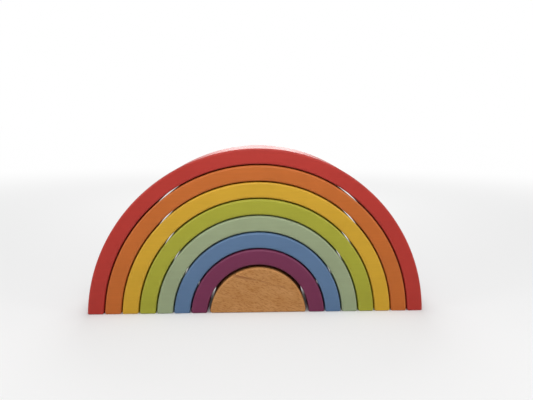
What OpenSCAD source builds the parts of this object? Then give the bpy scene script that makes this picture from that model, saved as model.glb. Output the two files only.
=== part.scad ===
// Rainbow stacker: seven half-ring arches nested round a half-disc core, all loose.
// Millimetres. X runs across the rainbow, Y from front to back, Z up from the table.
// The origin lies on the table, under the middle of the core.

/* [Nest] */
// Radius of the half-disc core
core_r = 37.1; // [25:0.1:60]
// Air between the core and the innermost arch
core_gap = 2.4; // [0.5:0.1:4]
// Thickness of an arch, along its radius
arch_t = 12; // [8:0.5:20]
// Air between one arch and the next
nest_gap = 1; // [0.5:0.1:3]
// Depth of every piece, from its front face to its back face
depth = 50; // [30:1:80]

/* [Edges] */
// Round-over of the curved edges, front and back
edge_r = 1.5; // [0.5:0.1:3]
// Easing of the edges that stand on the table
foot_r = 2; // [0.5:0.1:3]
// Height that each half circle loses to the saw and to sanding
saw_loss = 2; // [0.5:0.1:4]

/* [Hidden] */

// Sides that a full circle is drawn with
$fn = 144;
// How far a cut runs past the faces that it trims
overrun = 2;
// Step in radius from one arch to the next
pitch = arch_t + nest_gap;
// Inset of the easing's centre, as a share of its radius: below 1 it meets each face at a slight angle
ease_inset_share = 0.9;

// Inner radius of an arch, counted outwards from the core
function arch_inner_r(place) = core_r + core_gap + place * pitch;

// Half-width of a sawn circle, at a height above the table
function foot_x(r, height) = sqrt(pow(r, 2) - pow(saw_loss + height, 2));

// Section of a ring: a bar with all four corners rounded
module bar_section(inner_r, outer_r) {
    translate([inner_r + edge_r, -depth / 2])
        square([outer_r - inner_r - 2 * edge_r, depth]);
    translate([inner_r, edge_r - depth / 2])
        square([outer_r - inner_r, depth - 2 * edge_r]);
    for (x = [inner_r + edge_r, outer_r - edge_r], side = [-1, 1])
        translate([x, side * (depth / 2 - edge_r)])
            circle(edge_r);
}

// Section of a disc, from its axis to a rim with rounded corners
module disc_section(outer_r) {
    translate([0, -depth / 2])
        square([outer_r - edge_r, depth]);
    translate([0, edge_r - depth / 2])
        square([outer_r, depth - 2 * edge_r]);
    for (side = [-1, 1])
        translate([outer_r - edge_r, side * (depth / 2 - edge_r)])
            circle(edge_r);
}

// A section turned about the rainbow's own axis, which lies just under the table
module turned() {
    translate([0, 0, -saw_loss])
        rotate([90, 0, 0])
            rotate_extrude()
                children();
}

// Everything below the table, which the saw takes off
module sawn_off(outer_r) {
    reach = outer_r + overrun;
    translate([-reach, -depth / 2 - overrun, -reach - saw_loss])
        cube([2 * reach, depth + 2 * overrun, reach + saw_loss]);
}

// What sanding takes off a square corner whose wood lies towards +X and +Y
module corner_waste() {
    inset = ease_inset_share * foot_r;
    difference() {
        translate([-overrun, -overrun])
            square(inset + overrun);
        translate([inset, inset])
            circle(foot_r);
    }
}

// Easing under the front and back faces, right across a piece
module face_easing(outer_r) {
    for (back = [0, 1])
        mirror([0, back, 0])
            translate([0, -depth / 2, 0])
                rotate([90, 0, 90])
                    linear_extrude(2 * (outer_r + overrun), center = true)
                        corner_waste();
}

// Easing along one curved side, at both feet. The wood lies beyond x, or within it if inwards is 1
module side_easing(x, inwards) {
    for (left = [0, 1])
        mirror([left, 0, 0])
            translate([x, 0, 0])
                mirror([inwards, 0, 0])
                    rotate([90, 0, 0])
                        linear_extrude(depth + 2 * overrun, center = true)
                            corner_waste();
}

// One arch: half of a turned ring, eased at its feet
module arch(place) {
    inner_r = arch_inner_r(place);
    outer_r = inner_r + arch_t;
    difference() {
        turned() bar_section(inner_r, outer_r);
        sawn_off(outer_r);
        face_easing(outer_r);
        side_easing(foot_x(outer_r, 0), 1);
        side_easing(foot_x(inner_r, foot_r), 0);
    }
}

// The core: half of a turned disc, eased round its base
module core_block() {
    color("#b27d47")
        difference() {
            turned() disc_section(core_r);
            sawn_off(core_r);
            face_easing(core_r);
            side_easing(foot_x(core_r, 0), 1);
        }
}

module violet_arch() { color("#6d2a4a") arch(0); }
module blue_arch() { color("#587496") arch(1); }
module mint_arch() { color("#939f7d") arch(2); }
module lime_arch() { color("#a09f32") arch(3); }
module yellow_arch() { color("#c99d2b") arch(4); }
module orange_arch() { color("#bb6427") arch(5); }
module red_arch() { color("#ac3129") arch(6); }

red_arch();
orange_arch();
yellow_arch();
lime_arch();
mint_arch();
blue_arch();
violet_arch();
core_block();
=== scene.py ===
"""Looks of a wooden rainbow stacker: seven lacquered half-ring arches nested round a bare beech half-disc."""

import logging
import math
from dataclasses import dataclass
from enum import Enum

import bmesh
import bpy
from mathutils import Matrix, Vector, noise


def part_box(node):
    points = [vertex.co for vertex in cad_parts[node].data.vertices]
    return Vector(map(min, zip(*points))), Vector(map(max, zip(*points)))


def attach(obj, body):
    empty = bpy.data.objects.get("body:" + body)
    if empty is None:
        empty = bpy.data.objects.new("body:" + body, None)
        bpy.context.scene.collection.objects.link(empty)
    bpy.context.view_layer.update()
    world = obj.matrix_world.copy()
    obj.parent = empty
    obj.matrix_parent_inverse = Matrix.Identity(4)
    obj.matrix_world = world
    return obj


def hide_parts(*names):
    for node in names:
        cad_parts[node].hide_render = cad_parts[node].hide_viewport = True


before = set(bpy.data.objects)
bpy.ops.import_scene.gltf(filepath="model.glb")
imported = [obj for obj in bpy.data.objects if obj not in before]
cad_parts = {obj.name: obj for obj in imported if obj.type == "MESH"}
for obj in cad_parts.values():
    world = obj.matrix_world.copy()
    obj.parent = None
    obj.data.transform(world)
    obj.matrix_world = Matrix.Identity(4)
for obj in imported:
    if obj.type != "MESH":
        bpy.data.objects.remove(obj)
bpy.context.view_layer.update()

LOG = logging.getLogger("rainbow_stacker")

Tree = bpy.types.NodeTree
Socket = bpy.types.NodeSocket
# Named inputs of a tree, which its input node gives out
Inputs = bpy.types.NodeOutputs
Colour = tuple[float, float, float, float]
Point = tuple[float, float, float]
Span = tuple[float, float]
Outline = list[tuple[Vector, Vector]]

# One millimetre, in the frame's metres
MM = 0.001
# Width and height of the photograph, in pixels
IMAGE_SIZE = (533, 400)
# Attribute that is 1 along the rounded arrises and 0 on the flats
ARRIS = "arris"
# Most values of a noise lie between these
NOISE_SPAN = (0.3, 0.7)
# Period of a wave texture at a scale of 1
WAVE_PERIOD = math.pi / 10
# Sockets of a mix of colours, which stand after those of the other kinds of mix
MIX_SHARE, MIX_FIRST, MIX_SECOND, MIX_RESULT = 0, 6, 7, 2


def linear(hex_colour: str, gain: float = 1.0, white: float = 0.0) -> Colour:
    """Turns an sRGB hex value into a linear colour.

    Args:
        hex_colour: Colour as #rrggbb.
        gain: Factor on the linear values.
        white: Share of white that is mixed in after the gain.

    Returns:
        Linear red, green, blue and an alpha of 1.
    """
    channels = [int(hex_colour[i:i + 2], 16) / 255 for i in (1, 3, 5)]
    values = [c / 12.92 if c <= 0.04045 else ((c + 0.055) / 1.055) ** 2.4 for c in channels]
    return (*[min(1.0, white + (1 - white) * gain * v) for v in values], 1.0)


def add_node(tree: Tree, kind: str, links: dict[str | int, object] | None = None,
             **settings: object) -> bpy.types.Node:
    """Adds a node with its settings, its values and its links.

    Args:
        tree: Tree that gets the node.
        kind: Type name of the node.
        links: For each input, by name or number, the value or the output that goes in.
        settings: Properties of the node.

    Returns:
        The new node.
    """
    node = tree.nodes.new(kind)
    for name, value in settings.items():
        setattr(node, name, value)
    for socket, value in (links or {}).items():
        if isinstance(value, Socket):
            tree.links.new(value, node.inputs[socket])
        else:
            node.inputs[socket].default_value = value
    return node


def ends(side: str, span: Span) -> dict[str, float]:
    """Names the two ends of a span that is the From or the To side of a range."""
    return {f"{side} Min": span[0], f"{side} Max": span[1]}


def around(middle: float, spread: float) -> Span:
    """Gives the span that reaches a spread to either side of its middle."""
    return middle - spread, middle + spread


def fibre_noise(tree: Tree, place: Socket, length: float, width: float, detail: float,
                roughness: float = 0.5, offset: float = 0.0) -> Socket:
    """Adds a noise that is drawn out along the fibres of the wood.

    Args:
        tree: Tree that gets the nodes.
        place: Coordinates, with the fibres along X.
        length: Size of the noise along the fibres.
        width: Size of the noise across the fibres.
        detail: Number of finer layers in the noise.
        roughness: Share that each finer layer keeps.
        offset: Shift of the noise, which tells one piece from the next.

    Returns:
        The value of the noise.
    """
    space = add_node(tree, "ShaderNodeMapping", {
        "Vector": place, "Location": (offset, offset, offset), "Scale": (1 / length, 1 / width, 1 / width)})
    return add_node(tree, "ShaderNodeTexNoise", {
        "Vector": space.outputs["Vector"], "Scale": 1.0, "Detail": detail,
        "Roughness": roughness}).outputs["Fac"]


def new_material(name: str) -> tuple[bpy.types.Material, Tree, Socket]:
    """Makes an empty node material.

    Args:
        name: Name of the material.

    Returns:
        The material, its tree, and the surface socket of its output.
    """
    material = bpy.data.materials.new(name)
    material.use_nodes = True
    material.node_tree.nodes.clear()
    output = add_node(material.node_tree, "ShaderNodeOutputMaterial")
    return material, material.node_tree, output.inputs["Surface"]


def put(name: str, data: bpy.types.ID) -> bpy.types.Object:
    """Puts a new object into the scene.

    Args:
        name: Name of the object.
        data: Its mesh, lamp or camera.

    Returns:
        The object, at the origin.
    """
    placed = bpy.data.objects.new(name, data)
    bpy.context.scene.collection.objects.link(placed)
    return placed


class Lacquer(Enum):
    """Colours that the arches are sprayed in, outermost first, as sRGB hex values."""

    RED = "#ac3129"
    ORANGE = "#bb6427"
    YELLOW = "#c99d2b"
    LIME = "#a09f32"
    MINT = "#939f7d"
    BLUE = "#587496"
    VIOLET = "#6d2a4a"


@dataclass(frozen=True)
class PaintedBeech:
    """Water-based toy lacquer, sprayed over sanded beech and smoothed down between coats.

    The eye sees an even, satin colour, with the faint lines of the grain under the film, a slight
    orange peel from the spray, and paler arrises, partly worn film and partly a painted highlight.
    """

    lacquer: Lacquer
    seed: float
    grain_length: float = 45 * MM
    # Beech pores are under 0.1 mm wide, too fine to show, so the lines are drawn coarser
    grain_width: float = 1.3 * MM
    grain_detail: float = 3.0
    grain_roughness: float = 0.6
    grain_height: float = 0.03 * MM
    mottle_size: float = 28 * MM
    mottle_detail: float = 2.0
    # Real spray peel is about 0.5 mm, drawn coarser to show
    peel_size: float = 1.6 * MM
    peel_detail: float = 1.0
    peel_height: float = 0.02 * MM
    # Most sums of the grain and the mottle lie between these
    tone_span: Span = (0.7, 1.3)
    # How far the film strays from its colour, darker and lighter
    film_spread: float = 0.05
    # Least and greatest share, gain and white of the paler arris colour: worn film, partly a painted
    # highlight
    wear_and_highlight_span: Span = (0.1, 0.4)
    wear_and_highlight_gain: float = 1.2
    wear_and_highlight_white: float = 0.03
    roughness: float = 0.5
    roughness_spread: float = 0.07
    specular: float = 0.3
    ior: float = 1.47

    def material(self) -> bpy.types.Material:
        """Builds the lacquer's material.

        Returns:
            The material.
        """
        material, tree, surface = new_material(f"{self.lacquer.name.lower()}_lacquer_on_beech")
        place = add_node(tree, "ShaderNodeTexCoord").outputs["Object"]
        grain = fibre_noise(tree, place, self.grain_length, self.grain_width, self.grain_detail,
                            self.grain_roughness, self.seed)
        mottle = add_node(tree, "ShaderNodeTexNoise", {
            "Vector": place, "W": self.seed, "Scale": 1 / self.mottle_size,
            "Detail": self.mottle_detail}, noise_dimensions="4D").outputs["Fac"]
        peel = add_node(tree, "ShaderNodeTexNoise", {
            "Vector": place, "Scale": 1 / self.peel_size, "Detail": self.peel_detail})
        gloss = add_node(tree, "ShaderNodeMapRange", {
            "Value": mottle, **ends("From", NOISE_SPAN),
            **ends("To", around(self.roughness, self.roughness_spread))})
        skin = add_node(tree, "ShaderNodeBump", {
            "Height": peel.outputs["Fac"], "Strength": 1.0, "Distance": self.peel_height})
        relief = add_node(tree, "ShaderNodeBump", {
            "Height": grain, "Strength": 1.0, "Distance": self.grain_height,
            "Normal": skin.outputs["Normal"]})
        shader = add_node(tree, "ShaderNodeBsdfPrincipled", {
            "Base Color": self.film(tree, grain, mottle), "Roughness": gloss.outputs["Result"],
            "Specular IOR Level": self.specular, "IOR": self.ior, "Normal": relief.outputs["Normal"]})
        tree.links.new(shader.outputs["BSDF"], surface)
        return material

    def film(self, tree: Tree, grain: Socket, mottle: Socket) -> Socket:
        """Colours the film, uneven over the grain and paler on the arrises, partly worn film and partly a
        painted highlight.

        Args:
            tree: Tree that gets the nodes.
            grain: Lines of the grain.
            mottle: Broad unevenness of the spray.

        Returns:
            The colour.
        """
        dark, light = (linear(self.lacquer.value, gain) for gain in around(1.0, self.film_spread))
        tone = add_node(tree, "ShaderNodeMath", {0: grain, 1: mottle}, operation="ADD").outputs[0]
        share = add_node(tree, "ShaderNodeMapRange", {"Value": tone, **ends("From", self.tone_span)})
        even = add_node(tree, "ShaderNodeMix", {
            MIX_SHARE: share.outputs["Result"], MIX_FIRST: dark, MIX_SECOND: light}, data_type="RGBA")
        # Arrises get a paler colour: partly the worn film, partly a painted highlight on the rounded edges
        arris = add_node(tree, "ShaderNodeAttribute", attribute_name=ARRIS)
        wear_and_highlight = add_node(tree, "ShaderNodeMapRange", {
            "Value": tone, **ends("From", self.tone_span), **ends("To", self.wear_and_highlight_span)})
        wear_and_highlight_share = add_node(tree, "ShaderNodeMath", {
            0: arris.outputs["Fac"], 1: wear_and_highlight.outputs["Result"]}, operation="MULTIPLY")
        return add_node(tree, "ShaderNodeMix", {
            MIX_SHARE: wear_and_highlight_share.outputs[0], MIX_FIRST: even.outputs[MIX_RESULT],
            MIX_SECOND: linear(self.lacquer.value, self.wear_and_highlight_gain, self.wear_and_highlight_white)},
            data_type="RGBA").outputs[MIX_RESULT]


@dataclass(frozen=True)
class BareBeech:
    """Solid beech, turned, sanded fine and left bare.

    The eye sees a warm tan with faint blotches, close short flecks along the fibres, one darker
    growth line that comes and goes, and a dry, low sheen.
    """

    colour: str = "#b88249"
    pale: str = "#c49057"
    dark: str = "#8a5430"
    fleck_colour: str = "#945823"
    fibre_slope: float = math.radians(20)
    blotch_length: float = 14 * MM
    blotch_width: float = 7 * MM
    blotch_detail: float = 2.0
    # One growth line stands out on the block, so the strong lines lie this far apart
    ring_width: float = 29.7 * MM
    ring_wander: float = 1.2
    ring_detail: float = 2.0
    ring_detail_scale: float = 0.4
    # The pith lies below and behind the block, so the growth line crosses the front at a slant
    pith_shift: Point = (0.0, -30 * MM, 45 * MM)
    pith_turn: Point = (0.0, 0.06, 0.1)
    # Last part of a ring, over which its line darkens
    line_span: Span = (0.93, 1.0)
    # Blotch values between which the line comes and goes
    break_span: Span = (0.5, 0.62)
    # Ray flecks are about 0.2 mm wide, drawn a little coarser to show
    fleck_length: float = 2.2 * MM
    fleck_width: float = 0.45 * MM
    fleck_detail: float = 1.0
    fleck_span: Span = (0.5, 0.66)
    fleck_share: float = 0.6
    # Pores are under 0.1 mm wide, too fine to show, so they are drawn coarser
    pore_length: float = 9 * MM
    pore_width: float = 0.4 * MM
    pore_detail: float = 2.0
    pore_span: Span = (0.4, 0.7)
    pore_share: float = 0.25
    pore_gain: float = 1.2
    pore_depth: float = 0.03 * MM
    roughness: float = 0.6
    roughness_spread: float = 0.08
    specular: float = 0.3
    ior: float = 1.5

    def material(self) -> bpy.types.Material:
        """Builds the bare wood's material.

        Returns:
            The material.
        """
        material, tree, surface = new_material("bare_sanded_beech")
        place = add_node(tree, "ShaderNodeTexCoord").outputs["Object"]
        fibre = add_node(tree, "ShaderNodeMapping", {
            "Vector": place, "Rotation": (0.0, -self.fibre_slope, 0.0)}).outputs["Vector"]
        pore = fibre_noise(tree, fibre, self.pore_length, self.pore_width, self.pore_detail)
        gloss = add_node(tree, "ShaderNodeMapRange", {
            "Value": pore, **ends("From", NOISE_SPAN),
            **ends("To", around(self.roughness, self.roughness_spread))})
        relief = add_node(tree, "ShaderNodeBump", {
            "Height": pore, "Strength": 1.0, "Distance": self.pore_depth})
        shader = add_node(tree, "ShaderNodeBsdfPrincipled", {
            "Base Color": self.figure(tree, fibre, pore), "Roughness": gloss.outputs["Result"],
            "Specular IOR Level": self.specular, "IOR": self.ior, "Normal": relief.outputs["Normal"]})
        tree.links.new(shader.outputs["BSDF"], surface)
        return material

    def growth_line(self, tree: Tree, fibre: Socket, blotch: Socket) -> Socket:
        """Draws the dark end of each growth ring, broken where the blotches are low.

        Args:
            tree: Tree that gets the nodes.
            fibre: Coordinates, with the fibres along X.
            blotch: Value of the blotches.

        Returns:
            A value that is 1 on the line.
        """
        space = add_node(tree, "ShaderNodeMapping", {
            "Vector": fibre, "Location": self.pith_shift, "Rotation": self.pith_turn})
        ring = add_node(tree, "ShaderNodeTexWave", {
            "Vector": space.outputs["Vector"], "Scale": WAVE_PERIOD / self.ring_width,
            "Distortion": self.ring_wander, "Detail": self.ring_detail,
            "Detail Scale": self.ring_detail_scale},
            wave_type="RINGS", rings_direction="X", wave_profile="SAW")
        late = add_node(tree, "ShaderNodeMapRange", {
            "Value": ring.outputs["Fac"], **ends("From", self.line_span)})
        seen = add_node(tree, "ShaderNodeMapRange", {"Value": blotch, **ends("From", self.break_span)})
        return add_node(tree, "ShaderNodeMath", {
            0: late.outputs["Result"], 1: seen.outputs["Result"]}, operation="MULTIPLY").outputs[0]

    def figure(self, tree: Tree, fibre: Socket, pore: Socket) -> Socket:
        """Colours the wood: blotches, then the growth line, the flecks and the pores over them.

        Args:
            tree: Tree that gets the nodes.
            fibre: Coordinates, with the fibres along X.
            pore: Value of the pores.

        Returns:
            The colour.
        """
        blotch = fibre_noise(tree, fibre, self.blotch_length, self.blotch_width, self.blotch_detail)
        fleck = fibre_noise(tree, fibre, self.fleck_length, self.fleck_width, self.fleck_detail)
        cloud = add_node(tree, "ShaderNodeMapRange", {"Value": blotch, **ends("From", NOISE_SPAN)})
        mark = add_node(tree, "ShaderNodeMapRange", {
            "Value": fleck, **ends("From", self.fleck_span), "To Max": self.fleck_share})
        fine = add_node(tree, "ShaderNodeMapRange", {
            "Value": pore, **ends("From", self.pore_span), "To Max": self.pore_share})
        colour = linear(self.colour)
        for share, over in (
                (cloud.outputs["Result"], linear(self.pale)),
                (self.growth_line(tree, fibre, blotch), linear(self.dark)),
                (mark.outputs["Result"], linear(self.fleck_colour)),
                (fine.outputs["Result"], linear(self.dark, self.pore_gain))):
            colour = add_node(tree, "ShaderNodeMix", {
                MIX_SHARE: share, MIX_FIRST: colour, MIX_SECOND: over}, data_type="RGBA").outputs[MIX_RESULT]
        return colour


@dataclass
class Nest:
    """The painted arches: half rings of one section, each swept along its own half circle.

    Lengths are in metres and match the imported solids.
    """

    thickness: float = 12 * MM
    depth: float = 50 * MM
    edge_radius: float = 1.5 * MM
    foot_easing: float = 0.95 * MM
    saw_loss: float = 2 * MM
    row_step: float = 2 * MM
    edge_steps: int = 6
    foot_steps: int = 4
    front_cuts: int = 2
    side_cuts: int = 9
    # A point of the section that is nearer than this to a corner of the bar is that corner
    corner_reach: float = 0.01 * MM
    # Faces along the bar have this many corners, and only its end faces have more
    side_corners: int = 4
    unevenness: float = 0.12 * MM
    unevenness_length: float = 32 * MM
    unevenness_detail: float = 1.0
    # Heights above the table between which the unevenness sets in, so that the feet stay flat
    unevenness_rise: Span = (1 * MM, 8 * MM)
    first_seed: float = 1.7
    seed_step: float = 2.3

    def tree(self) -> Tree:
        """Builds the tree that sweeps one arch, sets its feet on the table and sands it.

        Returns:
            The tree, with named inputs for the sizes.
        """
        tree = bpy.data.node_groups.new("swept_arch", "GeometryNodeTree")
        for name in ("Inner Radius", "Thickness", "Depth", "Edge Radius", "Foot Easing", "Saw Loss",
                     "Unevenness", "Unevenness Length", "Seed"):
            tree.interface.new_socket(name, in_out="INPUT", socket_type="NodeSocketFloat")
        tree.interface.new_socket("Rows", in_out="INPUT", socket_type="NodeSocketInt")
        tree.interface.new_socket("Material", in_out="INPUT", socket_type="NodeSocketMaterial")
        tree.interface.new_socket("Geometry", in_out="OUTPUT", socket_type="NodeSocketGeometry")
        given = add_node(tree, "NodeGroupInput").outputs
        section, outward, arris = self.section(tree, given)
        swept = self.sweep(tree, given, section, arris)
        footed = self.feet(tree, given, swept, outward)
        self.sand(tree, given, footed)
        return tree

    def section(self, tree: Tree, given: Inputs) -> tuple[Socket, Socket, Socket]:
        """Draws the bar's section with its four corners rounded.

        Args:
            tree: Tree that gets the nodes.
            given: The tree's named inputs.

        Returns:
            The section's curve, its outward direction at each point, and its share of rounding.
        """
        bar = add_node(tree, "GeometryNodeCurvePrimitiveQuadrilateral", {
            "Width": given["Thickness"], "Height": given["Depth"]}, mode="RECTANGLE")
        # The bar's sides are short and long by turns, and the long ones get more cuts
        index = add_node(tree, "GeometryNodeInputIndex")
        odd = add_node(tree, "ShaderNodeMath", {0: index.outputs[0], 1: 2.0}, operation="MODULO")
        cuts = add_node(tree, "ShaderNodeMath", {
            0: odd.outputs[0], 1: self.side_cuts - self.front_cuts, 2: self.front_cuts},
            operation="MULTIPLY_ADD")
        fine = add_node(tree, "GeometryNodeSubdivideCurve", {
            "Curve": bar.outputs[0], "Cuts": cuts.outputs[0]})

        # Only the bar's own corners are rounded, not the points that the cuts add
        place = add_node(tree, "GeometryNodeInputPosition")
        reach = add_node(tree, "ShaderNodeVectorMath", {0: place.outputs[0]}, operation="ABSOLUTE")
        size = add_node(tree, "ShaderNodeCombineXYZ", {"X": given["Thickness"], "Y": given["Depth"]})
        half = add_node(tree, "ShaderNodeVectorMath", {
            0: size.outputs[0], "Scale": 0.5}, operation="SCALE")
        short = add_node(tree, "ShaderNodeVectorMath", {
            0: half.outputs[0], 1: reach.outputs[0]}, operation="DISTANCE")
        corner = add_node(tree, "ShaderNodeMath", {
            0: short.outputs["Value"], 1: self.corner_reach}, operation="LESS_THAN")
        radius = add_node(tree, "ShaderNodeMath", {
            0: corner.outputs[0], 1: given["Edge Radius"]}, operation="MULTIPLY")
        steps = add_node(tree, "ShaderNodeMath", {
            0: corner.outputs[0], 1: self.edge_steps}, operation="MULTIPLY")
        rounded = add_node(tree, "GeometryNodeFilletCurve", {
            "Curve": fine.outputs[0], "Count": steps.outputs[0], "Radius": radius.outputs[0]}, mode="POLY")

        # The way out of the section is square to its flats, and turns round its corners
        rim = add_node(tree, "ShaderNodeCombineXYZ", {"X": given["Edge Radius"], "Y": given["Edge Radius"]})
        flat = add_node(tree, "ShaderNodeVectorMath", {
            0: half.outputs[0], 1: rim.outputs[0]}, operation="SUBTRACT")
        past = add_node(tree, "ShaderNodeVectorMath", {
            0: reach.outputs[0], 1: flat.outputs[0]}, operation="SUBTRACT")
        beyond = add_node(tree, "ShaderNodeVectorMath", {0: past.outputs[0]}, operation="MAXIMUM")
        side = add_node(tree, "ShaderNodeVectorMath", {0: place.outputs[0]}, operation="SIGN")
        signed = add_node(tree, "ShaderNodeVectorMath", {
            0: beyond.outputs[0], 1: side.outputs[0]}, operation="MULTIPLY")
        outward = add_node(tree, "ShaderNodeVectorMath", {0: signed.outputs[0]}, operation="NORMALIZE")
        parts = add_node(tree, "ShaderNodeSeparateXYZ", {0: outward.outputs[0]})
        both = add_node(tree, "ShaderNodeMath", {
            0: parts.outputs["X"], 1: parts.outputs["Y"]}, operation="MULTIPLY")
        share = add_node(tree, "ShaderNodeMath", {0: both.outputs[0]}, operation="ABSOLUTE")
        arris = add_node(tree, "ShaderNodeMath", {0: share.outputs[0], 1: 2.0}, operation="MULTIPLY")

        kept = add_node(tree, "GeometryNodeCaptureAttribute", domain="POINT")
        kept.capture_items.new("VECTOR", "Outward")
        kept.capture_items.new("FLOAT", "Arris")
        tree.links.new(rounded.outputs[0], kept.inputs["Geometry"])
        tree.links.new(outward.outputs[0], kept.inputs["Outward"])
        tree.links.new(arris.outputs[0], kept.inputs["Arris"])
        return kept.outputs["Geometry"], kept.outputs["Outward"], kept.outputs["Arris"]

    def sweep(self, tree: Tree, given: Inputs, section: Socket, arris: Socket) -> Socket:
        """Sweeps the section along the arch's half circle and levels its two ends.

        Args:
            tree: Tree that gets the nodes.
            given: The tree's named inputs.
            section: Curve of the bar's section.
            arris: Share of rounding at each point of the section.

        Returns:
            The arch's mesh, which ends level, one easing above the table.
        """
        middle = add_node(tree, "ShaderNodeMath", {
            0: given["Thickness"], 1: 0.5, 2: given["Inner Radius"]}, operation="MULTIPLY_ADD")
        end_height = add_node(tree, "ShaderNodeMath", {
            0: given["Saw Loss"], 1: given["Foot Easing"]}, operation="ADD")
        slope = add_node(tree, "ShaderNodeMath", {
            0: end_height.outputs[0], 1: middle.outputs[0]}, operation="DIVIDE")
        start = add_node(tree, "ShaderNodeMath", {0: slope.outputs[0]}, operation="ARCSINE")
        turn = add_node(tree, "ShaderNodeMath", {
            0: start.outputs[0], 1: -2.0, 2: math.pi}, operation="MULTIPLY_ADD")
        arc = add_node(tree, "GeometryNodeCurveArc", {
            "Resolution": given["Rows"], "Radius": middle.outputs[0],
            "Start Angle": start.outputs[0], "Sweep Angle": turn.outputs[0]}, mode="RADIUS")
        tips = add_node(tree, "GeometryNodeCurveEndpointSelection")
        path = add_node(tree, "GeometryNodeCaptureAttribute", domain="POINT")
        path.capture_items.new("BOOLEAN", "End")
        tree.links.new(arc.outputs["Curve"], path.inputs["Geometry"])
        tree.links.new(tips.outputs[0], path.inputs["End"])
        bar = add_node(tree, "GeometryNodeCurveToMesh", {
            "Curve": path.outputs["Geometry"], "Profile Curve": section, "Fill Caps": True})
        marked = add_node(tree, "GeometryNodeStoreNamedAttribute", {
            "Geometry": bar.outputs[0], "Name": ARRIS, "Value": arris}, data_type="FLOAT", domain="POINT")
        lowered = add_node(tree, "ShaderNodeMath", {0: given["Saw Loss"], 1: -1.0}, operation="MULTIPLY")
        shift = add_node(tree, "ShaderNodeCombineXYZ", {"Z": lowered.outputs[0]})
        upright = add_node(tree, "GeometryNodeTransform", {
            "Geometry": marked.outputs[0], "Translation": shift.outputs[0], "Rotation": (math.pi / 2, 0, 0)})

        # Each point of an end keeps its radius and slides along it to the end's height
        place = add_node(tree, "GeometryNodeInputPosition")
        parts = add_node(tree, "ShaderNodeSeparateXYZ", {0: place.outputs[0]})
        height = add_node(tree, "ShaderNodeMath", {
            0: parts.outputs["Z"], 1: given["Saw Loss"]}, operation="ADD")
        spoke = add_node(tree, "ShaderNodeCombineXYZ", {"X": parts.outputs["X"], "Z": height.outputs[0]})
        radius = add_node(tree, "ShaderNodeVectorMath", {0: spoke.outputs[0]}, operation="LENGTH")
        outer = add_node(tree, "ShaderNodeMath", {
            0: radius.outputs["Value"], 1: 2.0}, operation="POWER")
        under = add_node(tree, "ShaderNodeMath", {0: end_height.outputs[0], 1: 2.0}, operation="POWER")
        square = add_node(tree, "ShaderNodeMath", {
            0: outer.outputs[0], 1: under.outputs[0]}, operation="SUBTRACT")
        run = add_node(tree, "ShaderNodeMath", {0: square.outputs[0]}, operation="SQRT")
        side = add_node(tree, "ShaderNodeMath", {0: parts.outputs["X"]}, operation="SIGN")
        across = add_node(tree, "ShaderNodeMath", {
            0: run.outputs[0], 1: side.outputs[0]}, operation="MULTIPLY")
        level = add_node(tree, "ShaderNodeCombineXYZ", {
            "X": across.outputs[0], "Y": parts.outputs["Y"], "Z": given["Foot Easing"]})
        levelled = add_node(tree, "GeometryNodeSetPosition", {
            "Geometry": upright.outputs[0], "Selection": path.outputs["End"], "Position": level.outputs[0]})
        return levelled.outputs[0]

    def feet(self, tree: Tree, given: Inputs, arch: Socket, outward: Socket) -> Socket:
        """Draws both feet down to the table, with their edges eased to a quarter round.

        Args:
            tree: Tree that gets the nodes.
            given: The tree's named inputs.
            arch: Mesh of the arch, with level ends.
            outward: Outward direction at each point of the section.

        Returns:
            The arch's mesh, standing on the table.
        """
        place = add_node(tree, "GeometryNodeInputPosition")
        where = add_node(tree, "ShaderNodeSeparateXYZ", {0: place.outputs[0]})
        side = add_node(tree, "ShaderNodeMath", {0: where.outputs["X"]}, operation="SIGN")
        parts = add_node(tree, "ShaderNodeSeparateXYZ", {0: outward})
        across = add_node(tree, "ShaderNodeMath", {
            0: parts.outputs["X"], 1: side.outputs[0]}, operation="MULTIPLY")
        level = add_node(tree, "ShaderNodeCombineXYZ", {"X": across.outputs[0], "Y": parts.outputs["Y"]})
        corners = add_node(tree, "GeometryNodeInputMeshFaceNeighbors")
        end_face = add_node(tree, "ShaderNodeMath", {
            0: corners.outputs["Vertex Count"], 1: self.side_corners}, operation="GREATER_THAN")
        for step in range(self.foot_steps):
            last, now = (math.pi / 2 * (step + i) / self.foot_steps for i in (0, 1))
            drop = add_node(tree, "ShaderNodeMath", {
                0: given["Foot Easing"], 1: math.sin(now) - math.sin(last)}, operation="MULTIPLY")
            inset = add_node(tree, "ShaderNodeMath", {
                0: given["Foot Easing"], 1: math.cos(now) - math.cos(last)}, operation="MULTIPLY")
            lower = add_node(tree, "GeometryNodeExtrudeMesh", {
                "Mesh": arch, "Selection": end_face.outputs[0], "Offset Scale": drop.outputs[0],
                "Individual": False}, mode="FACES")
            inwards = add_node(tree, "ShaderNodeVectorMath", {
                0: level.outputs[0], "Scale": inset.outputs[0]}, operation="SCALE")
            drawn = add_node(tree, "GeometryNodeSetPosition", {
                "Geometry": lower.outputs["Mesh"], "Selection": lower.outputs["Top"],
                "Offset": inwards.outputs[0]})
            arch = add_node(tree, "GeometryNodeStoreNamedAttribute", {
                "Geometry": drawn.outputs[0], "Selection": lower.outputs["Top"], "Name": ARRIS,
                "Value": math.sin(2 * now)}, data_type="FLOAT", domain="POINT").outputs[0]
        return arch

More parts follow.
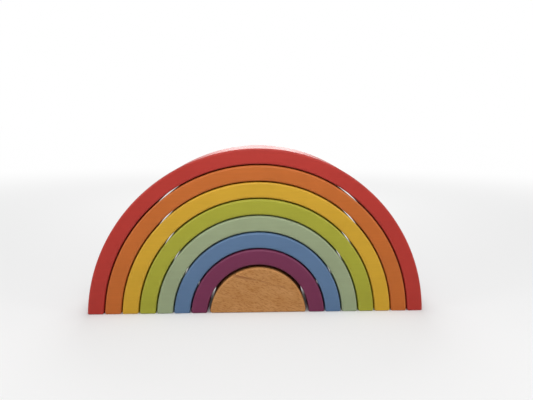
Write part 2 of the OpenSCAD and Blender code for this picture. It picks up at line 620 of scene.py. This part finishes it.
    def sand(self, tree: Tree, given: Inputs, arch: Socket) -> None:
        """Gives the arch the slight unevenness of hand sanding, and its material.

        Args:
            tree: Tree that gets the nodes.
            given: The tree's named inputs.
            arch: Mesh of the standing arch.
        """
        place = add_node(tree, "GeometryNodeInputPosition")
        pitch = add_node(tree, "ShaderNodeMath", {
            0: 1.0, 1: given["Unevenness Length"]}, operation="DIVIDE")
        wave = add_node(tree, "ShaderNodeTexNoise", {
            "Vector": place.outputs[0], "W": given["Seed"], "Scale": pitch.outputs[0],
            "Detail": self.unevenness_detail}, noise_dimensions="4D")
        swing = add_node(tree, "ShaderNodeMath", {0: wave.outputs["Fac"], 1: 0.5}, operation="SUBTRACT")
        height = add_node(tree, "ShaderNodeMath", {
            0: swing.outputs[0], 1: given["Unevenness"]}, operation="MULTIPLY")
        parts = add_node(tree, "ShaderNodeSeparateXYZ", {0: place.outputs[0]})
        above = add_node(tree, "ShaderNodeMapRange", {
            "Value": parts.outputs["Z"], **ends("From", self.unevenness_rise)},
            interpolation_type="SMOOTHSTEP")
        eased = add_node(tree, "ShaderNodeMath", {
            0: height.outputs[0], 1: above.outputs["Result"]}, operation="MULTIPLY")
        normal = add_node(tree, "GeometryNodeInputNormal")
        offset = add_node(tree, "ShaderNodeVectorMath", {
            0: normal.outputs[0], "Scale": eased.outputs[0]}, operation="SCALE")
        sanded = add_node(tree, "GeometryNodeSetPosition", {
            "Geometry": arch, "Offset": offset.outputs[0]})
        smooth = add_node(tree, "GeometryNodeSetShadeSmooth", {"Geometry": sanded.outputs[0]})
        whole = add_node(tree, "GeometryNodeRealizeInstances", {"Geometry": smooth.outputs[0]})
        dressed = add_node(tree, "GeometryNodeSetMaterial", {
            "Geometry": whole.outputs[0], "Material": given["Material"]})
        add_node(tree, "NodeGroupOutput", {"Geometry": dressed.outputs[0]})

    def arch(self, tree: Tree, node: str, finish: PaintedBeech) -> bpy.types.Object:
        """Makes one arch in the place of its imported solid.

        Args:
            tree: Tree that sweeps an arch.
            node: Name of the solid, which is also its body's.
            finish: Lacquer of the arch.

        Returns:
            The arch as a plain mesh object.
        """
        outer_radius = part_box(node)[1].z + self.saw_loss
        sizes = {
            "Inner Radius": outer_radius - self.thickness, "Thickness": self.thickness, "Depth": self.depth,
            "Edge Radius": self.edge_radius, "Foot Easing": self.foot_easing, "Saw Loss": self.saw_loss,
            "Unevenness": self.unevenness, "Unevenness Length": self.unevenness_length, "Seed": finish.seed,
            "Rows": round(math.pi * outer_radius / self.row_step), "Material": finish.material(),
        }
        piece = put(f"{node}_painted", bpy.data.meshes.new(f"{node}_painted"))
        modifier = piece.modifiers.new("sweep", "NODES")
        modifier.node_group = tree
        for socket in tree.interface.items_tree:
            if socket.in_out == "INPUT":
                modifier[socket.identifier] = sizes[socket.name]
        evaluated = piece.evaluated_get(bpy.context.evaluated_depsgraph_get())
        mesh = bpy.data.meshes.new_from_object(evaluated)
        piece.modifiers.clear()
        piece.data = mesh
        piece.modifiers.new("flat_faces", "WEIGHTED_NORMAL").keep_sharp = False
        return piece

    def build(self) -> list[bpy.types.Object]:
        """Makes every arch, outermost first, and sets each on its own body.

        Returns:
            The arches.
        """
        tree = self.tree()
        pieces = []
        for place, lacquer in enumerate(Lacquer):
            node = f"{lacquer.name.lower()}_arch"
            seed = self.first_seed + self.seed_step * place
            piece = self.arch(tree, node, PaintedBeech(lacquer, seed))
            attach(piece, node)
            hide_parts(node)
            pieces.append(piece)
        return pieces


@dataclass
class Core:
    """The half-disc in the middle of the nest, lofted from outlines between its front and back faces."""

    node: str = "core_block"
    depth: float = 50 * MM
    edge_radius: float = 1.5 * MM
    foot_radius: float = 1.6 * MM
    # Rounding of the front and back edges along the base, as a share of that along the arc
    foot_share: float = 0.62
    saw_loss: float = 2 * MM
    arc_steps: int = 96
    corner_steps: int = 5
    base_steps: int = 30
    edge_steps: int = 6
    side_steps: int = 10
    # Loops on the front and back faces, as shares of the face's size
    face_shares: tuple[float, ...] = (0.12, 0.3, 0.5, 0.7, 0.88, 0.97)
    # Height that those loops close in on, as a share of the block's height
    middle_share: float = 0.4
    unevenness: float = 0.1 * MM
    unevenness_length: float = 26 * MM
    # Heights above the table between which the unevenness sets in, so that the base stays flat
    unevenness_rise: Span = (1 * MM, 7 * MM)
    # Place in the noise that the unevenness is read from
    noise_offset: Point = (3.1, 7.9, 5.3)

    def outline(self) -> Outline:
        """Draws the half-disc's outline in the XZ plane.

        Returns:
            Points with their outward directions, anticlockwise from the right end of the base.
        """
        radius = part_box(self.node)[1].z + self.saw_loss
        rim = self.foot_radius
        # Centre of the rounding at the end of the base, which touches both the base and the arc
        rise = rim + self.saw_loss
        run = math.sqrt((radius - rim) ** 2 - rise ** 2)
        lift = math.atan2(rise, run)
        points = []
        for i in range(self.corner_steps):
            angle = -math.pi / 2 + (math.pi / 2 + lift) * i / self.corner_steps
            points.append((Vector((run, 0, rim)), Vector((math.cos(angle), 0, math.sin(angle)))))
        for i in range(self.arc_steps + 1):
            angle = lift + (math.pi - 2 * lift) * i / self.arc_steps
            away = Vector((math.cos(angle), 0, math.sin(angle)))
            points.append((away * (radius - rim) - Vector((0, 0, self.saw_loss)), away))
        for i in range(1, self.corner_steps + 1):
            angle = math.pi - lift + (math.pi / 2 + lift) * i / self.corner_steps
            points.append((Vector((-run, 0, rim)), Vector((math.cos(angle), 0, math.sin(angle)))))
        for i in range(1, self.base_steps):
            points.append((Vector((run * (2 * i / self.base_steps - 1), 0, rim)), Vector((0, 0, -1))))
        return [(centre + away * rim, away) for centre, away in points]

    def loop(self, outline: Outline, inset: float, y: float, share: float = 1.0) -> list[Vector]:
        """Sets the outline in, less at its base than at its arc, and draws it together.

        Args:
            outline: Points with their outward directions.
            inset: How far the arc is set in.
            y: Where the loop lies between front and back.
            share: Size of the loop, as a share of the outline that was set in.

        Returns:
            The loop's points.
        """
        middle = Vector((0, 0, self.middle_share * max(point.z for point, _ in outline)))
        points = []
        for point, away in outline:
            drop = Vector((away.x, 0, away.z * (self.foot_share if away.z < 0 else 1.0)))
            place = middle + (point - drop * inset - middle) * share
            points.append(Vector((place.x, y, place.z)))
        return points

    def loops(self) -> list[list[Vector]]:
        """Steps the outline from the middle of the front face to the middle of the back face.

        Returns:
            Loops of points, front to back.
        """
        outline = self.outline()
        front = -self.depth / 2
        rim = self.edge_radius
        half = [self.loop(outline, rim, front, share) for share in self.face_shares]
        for i in range(self.edge_steps + 1):
            angle = math.pi / 2 * i / self.edge_steps
            half.append(self.loop(outline, rim * (1 - math.sin(angle)), front + rim * (1 - math.cos(angle))))
        back = [[Vector((p.x, -p.y, p.z)) for p in row] for row in reversed(half)]
        length = self.depth - 2 * rim
        between = [self.loop(outline, 0.0, front + rim + length * i / self.side_steps)
                   for i in range(1, self.side_steps)]
        return half + between + back

    def loft(self) -> bmesh.types.BMesh:
        """Joins the loops into a closed block.

        Returns:
            The block's mesh, with its faces pointing outwards.
        """
        bm = bmesh.new()
        rows = [[bm.verts.new(point) for point in row] for row in self.loops()]
        count = len(rows[0])
        for near, far in zip(rows, rows[1:]):
            for i in range(count):
                j = (i + 1) % count
                bm.faces.new((near[i], near[j], far[j], far[i]))
        bm.faces.new(rows[0])
        bm.faces.new(rows[-1])
        bmesh.ops.recalc_face_normals(bm, faces=bm.faces)
        bm.normal_update()
        for face in bm.faces:
            face.smooth = True
        return bm

    def sand(self, bm: bmesh.types.BMesh) -> None:
        """Gives the block the slight unevenness of hand sanding.

        Args:
            bm: The block's mesh.
        """
        low, high = self.unevenness_rise
        moves = []
        for vert in bm.verts:
            wave = noise.noise(vert.co / self.unevenness_length + Vector(self.noise_offset))
            above = min(1.0, max(0.0, (vert.co.z - low) / (high - low)))
            moves.append(vert.normal * (wave * above * self.unevenness / 2))
        for vert, move in zip(bm.verts, moves):
            vert.co += move

    def build(self, finish: BareBeech) -> bpy.types.Object:
        """Makes the block, dresses it and sets it on its body.

        Args:
            finish: Look of the bare wood.

        Returns:
            The core as a plain mesh object.
        """
        bm = self.loft()
        self.sand(bm)
        mesh = bpy.data.meshes.new(f"{self.node}_beech")
        bm.to_mesh(mesh)
        bm.free()
        mesh.materials.append(finish.material())
        piece = put(f"{self.node}_beech", mesh)
        piece.modifiers.new("flat_faces", "WEIGHTED_NORMAL").keep_sharp = False
        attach(piece, self.node)
        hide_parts(self.node)
        return piece


@dataclass
class Studio:
    """The plain pale floor, the soft lamps and the camera."""

    floor_half: float = 6.0
    floor_cells: int = 4
    floor_colour: str = "#dcdcdc"
    # Half of the ground that the nest covers, where the floor shows as plain paper
    footprint: Point = (128 * MM, 23 * MM, 0.0)
    # Share of white that the floor takes on near the nest, and how far off it has taken on half of that
    white_share: float = 0.68
    shadow_reach: float = 5 * MM
    # Distances from the nest between which the floor goes on to full white
    white_reach: Span = (0.03, 1.2)
    ambient: float = 0.05
    key_place: Point = (0.0, -0.32, 0.33)
    key_size: float = 0.3
    key_power: float = 1.0
    # Place of the right lamp, which the left one mirrors
    side_place: Point = (0.42, -0.2, 0.3)
    side_size: float = 0.2
    side_power: float = 0.8
    back_place: Point = (0.0, 0.55, 0.45)
    back_size: float = 0.5
    back_power: float = 3.2
    lamp_target: Point = (0.0, 0.0, 0.07)
    # The camera as fitted to the photograph, with its focal length and its middle in pixels
    camera_place: Point = (0.0, -0.392, 0.148)
    yaw: float = math.radians(-3.45)
    pitch: float = math.radians(-3.34)
    roll: float = math.radians(0.6)
    focal_px: float = 483.3
    principal_px: tuple[float, float] = (288.5, 149.8)
    sensor_mm: float = 36.0
    clip_span: Span = (0.01, 50.0)

    def paper(self) -> bpy.types.Material:
        """Builds the floor's material: matt paper under the nest, white to the eye further out.

        Returns:
            The material.
        """
        material, tree, surface = new_material("pale_paper_floor")
        place = add_node(tree, "ShaderNodeTexCoord").outputs["Object"]
        side = add_node(tree, "ShaderNodeVectorMath", {0: place}, operation="ABSOLUTE")
        past = add_node(tree, "ShaderNodeVectorMath", {
            0: side.outputs[0], 1: self.footprint}, operation="SUBTRACT")
        outside = add_node(tree, "ShaderNodeVectorMath", {0: past.outputs[0]}, operation="MAXIMUM")
        away = add_node(tree, "ShaderNodeVectorMath", {0: outside.outputs[0]}, operation="LENGTH")
        reach = add_node(tree, "ShaderNodeMath", {
            0: away.outputs["Value"], 1: self.shadow_reach}, operation="ADD")
        near = add_node(tree, "ShaderNodeMath", {
            0: away.outputs["Value"], 1: reach.outputs[0]}, operation="DIVIDE")
        far = add_node(tree, "ShaderNodeMapRange", {
            "Value": away.outputs["Value"], **ends("From", self.white_reach),
            "To Max": 1 - self.white_share}, interpolation_type="SMOOTHSTEP")
        fade = add_node(tree, "ShaderNodeMath", {
            0: near.outputs[0], 1: self.white_share, 2: far.outputs["Result"]}, operation="MULTIPLY_ADD")
        share = add_node(tree, "ShaderNodeMath", {
            0: fade.outputs[0], 1: self.seen(tree)}, operation="MULTIPLY")
        matt = add_node(tree, "ShaderNodeBsdfDiffuse", {"Color": linear(self.floor_colour)})
        white = add_node(tree, "ShaderNodeEmission", {"Strength": 1.0})
        mixed = add_node(tree, "ShaderNodeMixShader", {
            0: share.outputs[0], 1: matt.outputs[0], 2: white.outputs[0]})
        tree.links.new(mixed.outputs[0], surface)
        return material

    def floor(self) -> None:
        """Lays the floor."""
        bm = bmesh.new()
        bmesh.ops.create_grid(
            bm, x_segments=self.floor_cells, y_segments=self.floor_cells, size=self.floor_half)
        mesh = bpy.data.meshes.new("floor")
        bm.to_mesh(mesh)
        bm.free()
        mesh.materials.append(self.paper())
        floor = put("floor", mesh)

    def seen(self, tree: Tree) -> Socket:
        """Finds the rays that show the background: straight ones, reflections and refractions.

        Args:
            tree: Tree that gets the nodes.

        Returns:
            A socket that is 1 on such rays.
        """
        path = add_node(tree, "ShaderNodeLightPath")
        either = add_node(tree, "ShaderNodeMath", {
            0: path.outputs["Is Camera Ray"], 1: path.outputs["Is Glossy Ray"]}, operation="MAXIMUM")
        return add_node(tree, "ShaderNodeMath", {
            0: either.outputs[0], 1: path.outputs["Is Transmission Ray"]}, operation="MAXIMUM").outputs[0]

    def world(self) -> None:
        """Sets a white background and a faint, even light from all round."""
        world = bpy.data.worlds.new("studio")
        bpy.context.scene.world = world
        world.use_nodes = True
        tree = world.node_tree
        tree.nodes.clear()
        strength = add_node(tree, "ShaderNodeMapRange", {
            "Value": self.seen(tree), **ends("To", (self.ambient, 1.0))})
        light = add_node(tree, "ShaderNodeBackground", {
            "Color": (1.0, 1.0, 1.0, 1.0), "Strength": strength.outputs["Result"]})
        add_node(tree, "ShaderNodeOutputWorld", {"Surface": light.outputs[0]})

    def lamps(self) -> None:
        """Hangs the soft key lamp over the front, one to each side of it, and one behind."""
        across, along, up = self.side_place
        for name, place, size, power in (
                ("key", self.key_place, self.key_size, self.key_power),
                ("left", (-across, along, up), self.side_size, self.side_power),
                ("right", (across, along, up), self.side_size, self.side_power),
                ("back", self.back_place, self.back_size, self.back_power)):
            lamp = bpy.data.lights.new(name, "AREA")
            lamp.shape = "DISK"
            lamp.size = size
            lamp.energy = power
            holder = put(name, lamp)
            holder.location = place
            aim = Vector(self.lamp_target) - Vector(place)
            holder.rotation_euler = aim.to_track_quat("-Z", "Y").to_euler()

    def camera(self) -> None:
        """Sets the camera where the photograph was taken from."""
        width, height = IMAGE_SIZE
        data = bpy.data.cameras.new("photo_camera")
        data.sensor_width = self.sensor_mm
        data.lens = self.focal_px * self.sensor_mm / width
        data.shift_x = (width / 2 - self.principal_px[0]) / width
        data.shift_y = (self.principal_px[1] - height / 2) / width
        data.clip_start, data.clip_end = self.clip_span
        view = Vector((-math.sin(self.yaw) * math.cos(self.pitch),
                       math.cos(self.yaw) * math.cos(self.pitch), math.sin(self.pitch)))
        right = Vector((math.cos(self.yaw), math.sin(self.yaw), 0.0))
        up = right.cross(view)
        rolled_right = right * math.cos(self.roll) + up * math.sin(self.roll)
        rolled_up = up * math.cos(self.roll) - right * math.sin(self.roll)
        turned = Matrix((rolled_right, rolled_up, -view)).transposed().to_4x4()
        camera = put("photo_camera", data)
        camera.matrix_world = Matrix.Translation(self.camera_place) @ turned
        bpy.context.scene.camera = camera

    def build(self) -> None:
        """Sets up the floor, the light and the camera."""
        self.floor()
        self.world()
        self.lamps()
        self.camera()
        bpy.context.scene.view_settings.view_transform = "Standard"


def main() -> None:
    """Builds the studio, the arches and the core, and reports each piece."""
    logging.basicConfig(level=logging.INFO, format="%(message)s")
    Studio().build()
    pieces = Nest().build()
    pieces.append(Core().build(BareBeech()))
    for piece in pieces:
        LOG.info("%s: %d faces", piece.name, len(piece.data.polygons))


if __name__ == "__main__":
    main()
